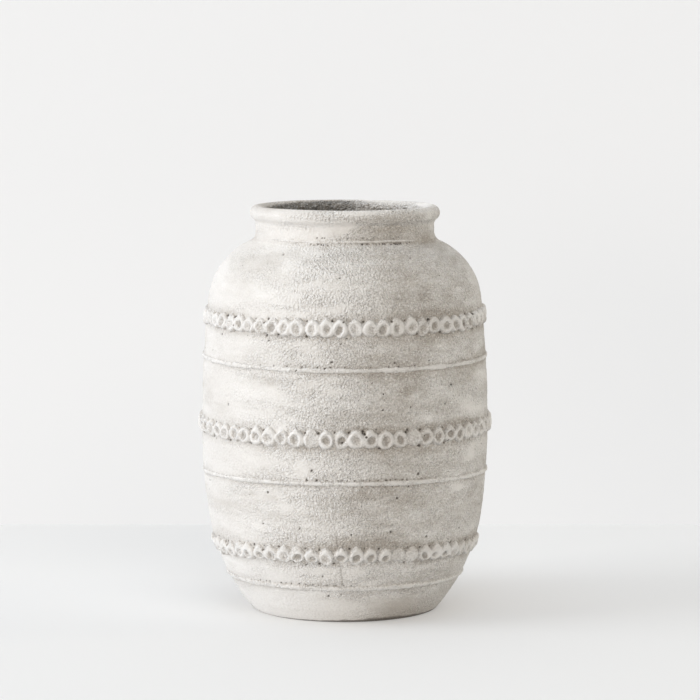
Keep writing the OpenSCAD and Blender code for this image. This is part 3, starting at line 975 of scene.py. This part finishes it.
def pelletForms(band, angle, t, base):
    # A pellet's height falls off its flank with the distance from its middle, measured by a power sum of the
    # width and height shares, and an elliptic bowl is pressed into it. Neighbours merge by a sixth-power sum.
    p = pressed
    ring = rings[band["ring"]]
    count = ring["pellets"]
    draw = np.random.default_rng(band["seed"])
    turn, lift, wide, tall, proud, deep, aside, bowlWide, bowlTall = draw.uniform(-1, 1, (9, count))
    shear, tipAcross, tipUp = draw.uniform(-1, 1, (3, count))
    radius = np.interp(ring["height"], outerLine["z"], outerLine["r"])
    wobble = 1 + 0.08 * clayNoise(base, 5.0, 41.0) + 0.05 * clayNoise(base, 2.6, 42.0)
    ragged = 1 + 0.15 * clayNoise(base, 4.2, 48.0) + 0.10 * clayNoise(base, 2.2, 49.0)
    pitch = 360 / count
    nearest = np.round(degreesFrom(angle, firstPellet) / pitch).astype(int)
    total = np.zeros(base.shape[:2])
    pits = np.zeros(base.shape[:2])
    for beside in (-1, 0, 1):
        k = (nearest + beside) % count
        centre = firstPellet + pitch * (nearest + beside) + np.degrees(p["turn"] * turn[k] / radius)
        across = np.radians(degreesFrom(angle, centre)) * radius + 0 * t[:, None]
        up = t[:, None] - p["lift"] * lift[k]
        u = np.abs(across) / (p["halfWide"] * (1 + p["size"] * wide[k]))
        v = np.maximum(up / p["top"], -up / p["foot"]) / (1 + p["size"] * tall[k])
        power = np.where(up > 0, band["pointed"], p["roundBelow"])
        far = (u ** power + v ** power) ** (1 / power) * wobble
        slope = np.clip(1 - np.square(np.maximum(far - p["flank"], 0) / (1 - p["flank"])), 0, 1) ** 0.62
        tip = 1 + p["tip"] * (tipAcross[k] * across / p["halfWide"] + tipUp[k] * up / p["top"])
        total += (p["proud"] * (1 + p["height"] * proud[k]) * slope * np.clip(tip, 0.6, 1.3)) ** 6
        bowlUp = up + band["craterLow"]
        bowlAcross = across - p["bowlAside"] * aside[k] + p["bowlShear"] * shear[k] * bowlUp
        bowlFar = np.hypot(bowlAcross / (band["craterWide"] * (1 + p["bowlSize"] * bowlWide[k])),
                           bowlUp / (band["craterTall"] * (1 + p["bowlSize"] * bowlTall[k])))
        bowl = 1 - eased(0.38, 1.10, bowlFar * ragged)
        pits = np.maximum(pits, bowl * np.clip(1 + p["bowlDepth"] * deep[k], 0.6, 1.3))
    return np.minimum(total ** (1 / 6), p["proud"] * 1.1), pits


def pressedBand(band):
    # Pellets over a strip of the wall, less their craters and pinholes, flatter where they were squashed
    p, b = pressed, bandLayer
    angle = np.arange(p["cols"]) * 360 / p["cols"]
    t = np.linspace(-p["reach"], p["reach"], p["rows"])
    base, normals = ribbon(rings[band["ring"]], angle, t)
    flat = np.zeros(p["cols"])
    for at, reach in band["squashed"]:
        away = np.abs(degreesFrom(angle, at + front))
        flat = np.maximum(flat, 1 - eased(reach * 0.6, reach * 1.3, away))
    height, pits = pelletForms(band, angle, t, base)
    pits = pits * (1 - p["shallower"] * flat) * (1 - 0.25 * leftShare(angle))
    height = height * (1 - p["flatter"] * flat)
    height = np.maximum(height - band["crater"] * pits * eased(0.3, 1.2, height), 0)
    height = height * (1 + 0.07 * clayNoise(base, 6.5, 43.0))
    grain = clayNoise(base, 1.9, 44.0) + clayNoise(base, 3.4, 46.0)
    height = height + eased(0.2, 1, height) * p["grain"] * grain
    holes = pinholeField(base)
    height = np.maximum(height - pinholes["depth"] * holes, 0)
    grid = onWall(base, normals, height, p["sunk"])

    crest = eased(1.3, 2.7, height) * (1 - eased(0.1, 0.6, pits))
    # right of the front the bands are darker: dirt and painted shade
    dirtyAndShaded = bell(degreesFrom(angle, front), b["rightAt"], b["rightWide"])
    stainAndShade = b["stainAndShade"] * stainAndShadeField(base, angle) * (1 - 0.5 * crest) + b["pitStain"] * eased(0.3, 0.9, pits)
    stainAndShade = stainAndShade + b["rightStainAndShade"] * dirtyAndShaded
    grubby = eased(0.35, 0.95, pits) * (0.75 + 0.35 * dirtyAndShaded + 0.6 * clayNoise(base, 3.0, 50.0))
    hollow = b["hollow"] + b["grub"] * grubby + b["edge"] * (1 - eased(0.25, 1.4, height)) - 0.2 * crest
    hollow = hollow + 0.18 * clayNoise(base, 2.0, 45.0) + 1.6 * hairlineField(base)
    hollow = np.maximum(np.clip(hollow, 0, 1), 2 * holes)
    chalk = b["chalk"] + b["crestChalk"] * crest + 0.2 * clayNoise(base, 9, 47.0)
    layRibbon(band, grid, tints(stainAndShade, hollow, 0.0, chalk))


for band in bands:
    pressedBand(band)

# The thin coils: half width and height, in millimetres, the draw of their unevenness, and the angles from
# the front between which one is smoothed over
coils = [
    dict(name="upperCoilLine", node="upper_coil", ring="upperCoil", half=1.85, proud=1.2, draw=51.0),
    dict(name="middleCoilLine", node="middle_coil", ring="middleCoil", half=1.85, proud=1.2, draw=52.0),
    dict(name="lowerCoilLine", node="lower_coil", ring="lowerCoil", half=2.3, proud=1.2, draw=53.0),
    dict(name="neckCoilLine", node="neck_coil", ring="neckCoil", half=1.05, proud=0.65, draw=54.0,
         fades=(38, 60)),
]

# Their grid, how far they are sunk, how their middle wanders, how thick and thin they run, their grain, and
# how much is gone where one is smoothed over
coilGrid = dict(cols=1000, rows=23, reach=1.7, sunk=0.5, wander=0.30, wanderSize=16.0, jitter=0.15,
                jitterSize=5.0, swell=0.25, swellSize=24.0, knobs=0.22, knobsSize=4.0, grain=0.28,
                grainSize=2.0, gone=0.7)

# The wash on the coils: stain, hollows and chalk, on the whole coil and on its crest
coilLayer = dict(stainAndShade=0.5, crestStain=0.5, hollow=0.75, crestHollow=0.5, chalk=0.2, crestChalk=0.3,
                 clouds=0.40)


def coilLine(coil):
    # A half-round ridge over the wall: its height falls as a rounded step with the distance from its
    # wandering middle
    g, w = coilGrid, coilLayer
    angle = np.arange(g["cols"]) * 360 / g["cols"]
    t = np.linspace(-g["reach"], g["reach"], g["rows"]) * coil["half"]
    base, normals = ribbon(rings[coil["ring"]], angle, t)
    line = base[g["rows"] // 2]
    drift = g["wander"] * clayNoise(line, g["wanderSize"], coil["draw"])
    drift += g["jitter"] * clayNoise(line, g["jitterSize"], coil["draw"])
    thick = 1 + g["swell"] * clayNoise(line, g["swellSize"], coil["draw"] + 7)
    thick += g["knobs"] * clayNoise(line, g["knobsSize"], coil["draw"] + 8)
    away = (t[:, None] - drift) / (coil["half"] * thick)
    height = coil["proud"] * thick * np.clip(1 - np.square(away), 0, 1) ** 0.7
    height = height * (1 + g["grain"] * clayNoise(base, g["grainSize"], 55.0))
    holes = pinholeField(base)
    height = np.maximum(height - pinholes["depth"] * holes, 0)
    if "fades" in coil:  # smoothed over at the sides
        height = height * (1 - g["gone"] * eased(*coil["fades"], np.abs(degreesFrom(angle, front))))
    grid = onWall(base, normals, height, g["sunk"])
    crest = eased(0.35, 0.9, height / coil["proud"])
    stainAndShade = w["stainAndShade"] * stainAndShadeField(base, angle) * (1 - w["crestStain"] * crest)
    hollow = w["hollow"] - w["crestHollow"] * crest + 0.2 * clayNoise(base, 2.2, 56.0)
    hollow = np.maximum(np.clip(hollow, 0, 1), 2 * holes)
    chalk = w["chalk"] + w["crestChalk"] * crest + w["clouds"] * clayNoise(base, 7, 57.0)
    layRibbon(coil, grid, tints(stainAndShade, hollow, 0.0, chalk))


for coil in coils:
    coilLine(coil)
print("jar finished")

# The room: a pale floor, and a pale wall that is seen only from its front; metres
room = dict(wallAt=0.371, side=4.0, near=-4.5, tall=3.0,
            floorColour=(0.573, 0.571, 0.566), floorGlow=0.23,
            wallColour=(0.29, 0.29, 0.29), wallGlow=0.58)


def plainSheet(name, corners, finish):
    # One flat rectangle of the stage
    mesh = bpy.data.meshes.new(name)
    mesh.from_pydata(corners, [], [(0, 1, 2, 3)])
    mesh.materials.append(finish)
    sheet = bpy.data.objects.new(name, mesh)
    bpy.context.scene.collection.objects.link(sheet)


def roomFinish(name, colour, glow, oneSided=False):
    # Matt white, lit from within by its glow like a light table; a one-sided sheet is clear from behind
    finish = bpy.data.materials.new(name)
    finish.use_nodes = True
    tree = finish.node_tree
    shader = tree.nodes["Principled BSDF"]
    shader.inputs["Base Color"].default_value = (*colour, 1)
    shader.inputs["Roughness"].default_value = 0.9
    shader.inputs["Specular IOR Level"].default_value = 0.1
    shader.inputs["Emission Color"].default_value = (1, 1, 1, 1)
    shader.inputs["Emission Strength"].default_value = glow
    if oneSided:
        side = addNode(tree, "ShaderNodeNewGeometry")
        clear = addNode(tree, "ShaderNodeBsdfTransparent")
        both = addNode(tree, "ShaderNodeMixShader")
        tree.links.new(side.outputs["Backfacing"], both.inputs[0])
        tree.links.new(shader.outputs["BSDF"], both.inputs[1])
        tree.links.new(clear.outputs["BSDF"], both.inputs[2])
        tree.links.new(both.outputs["Shader"], tree.nodes["Material Output"].inputs["Surface"])
    return finish


def buildRoom():
    # Floor up to the wall, and the wall behind the jar
    side, near, back, tall = room["side"], room["near"], room["wallAt"], room["tall"]
    plainSheet("floor", [(-side, near, 0), (side, near, 0), (side, back, 0), (-side, back, 0)],
               roomFinish("floorPaint", room["floorColour"], room["floorGlow"]))
    plainSheet("wall", [(-side, back, 0), (side, back, 0), (side, back, tall), (-side, back, tall)],
               roomFinish("wallPaint", room["wallColour"], room["wallGlow"], oneSided=True))


buildRoom()

# Soft studio lights: where they stand and their size, in metres, power in watts, and colour
lamps = [
    dict(name="keyLeft", at=(-5.0, -0.5, 0.9), size=(3.2, 1.8), power=110, colour=(0.62, 0.785, 1.0)),
    dict(name="keyHigh", at=(-4.2, -0.75, 2.9), size=(3.0, 2.0), power=108, colour=(0.95, 0.92, 0.87)),
    dict(name="frontLeft", at=(-3.6, -3.6, 0.9), size=(4.0, 1.6), power=85, colour=(1.0, 0.91, 0.82)),
    dict(name="highFront", at=(1.4, -4.0, 3.1), size=(4.0, 2.0), power=90, colour=(1.0, 0.94, 0.86)),
    dict(name="edgeRight", at=(2.6, 0.80, 0.9), size=(1.8, 1.8), power=62, colour=(1.0, 0.93, 0.78)),
    dict(name="overhead", at=(-0.5, -0.7, 3.4), size=(3.0, 2.0), power=37, colour=(0.78, 0.88, 1.0)),
]
airLight = dict(strength=0.02, seen=0.85)  # as light, and as the pale background beyond the room


def addLamp(lamp):
    # A rectangular area light turned towards the middle of the jar
    data = bpy.data.lights.new(lamp["name"], "AREA")
    data.shape = "RECTANGLE"
    data.size, data.size_y = lamp["size"]
    data.energy = lamp["power"]
    data.color = lamp["colour"]
    light = bpy.data.objects.new(lamp["name"], data)
    x, y, z = lamp["at"]
    aimZ = jar["bellyHeight"] * mm
    flat = math.hypot(x, y)
    light.location = lamp["at"]
    light.rotation_euler = (math.atan2(flat, z - aimZ), 0, math.atan2(y, x) + math.pi / 2)
    light.visible_camera = False
    bpy.context.scene.collection.objects.link(light)


for lamp in lamps:
    addLamp(lamp)
world = bpy.data.worlds.new("studioAir")
world.use_nodes = True
air = world.node_tree.nodes["Background"]
air.inputs["Color"].default_value = (1, 1, 1, 1)
rays = addNode(world.node_tree, "ShaderNodeLightPath")
toEye = spread(world.node_tree, rays.outputs["Is Camera Ray"], 0, 1, airLight["strength"], airLight["seen"])
world.node_tree.links.new(toEye, air.inputs["Strength"])
bpy.context.scene.world = world
bpy.context.scene.view_settings.view_transform = "Standard"
print("room and lights ready")

# The camera stands at the photograph's place: metres, degrees down, and focal length in pixels of its frame
viewer = dict(at=(0.00382, -2.4, 0.4569), down=6.24, focalPixels=3206.2, framePixels=700, sensor=36.0)
lens = bpy.data.cameras.new("viewer")
lens.sensor_width = viewer["sensor"]
lens.lens = viewer["focalPixels"] * viewer["sensor"] / viewer["framePixels"]
lens.clip_start = 0.05
lens.clip_end = 50
camera = bpy.data.objects.new("viewer", lens)
camera.location = viewer["at"]
camera.rotation_euler = (math.radians(90 - viewer["down"]), 0, 0)
bpy.context.scene.collection.objects.link(camera)
bpy.context.scene.camera = camera
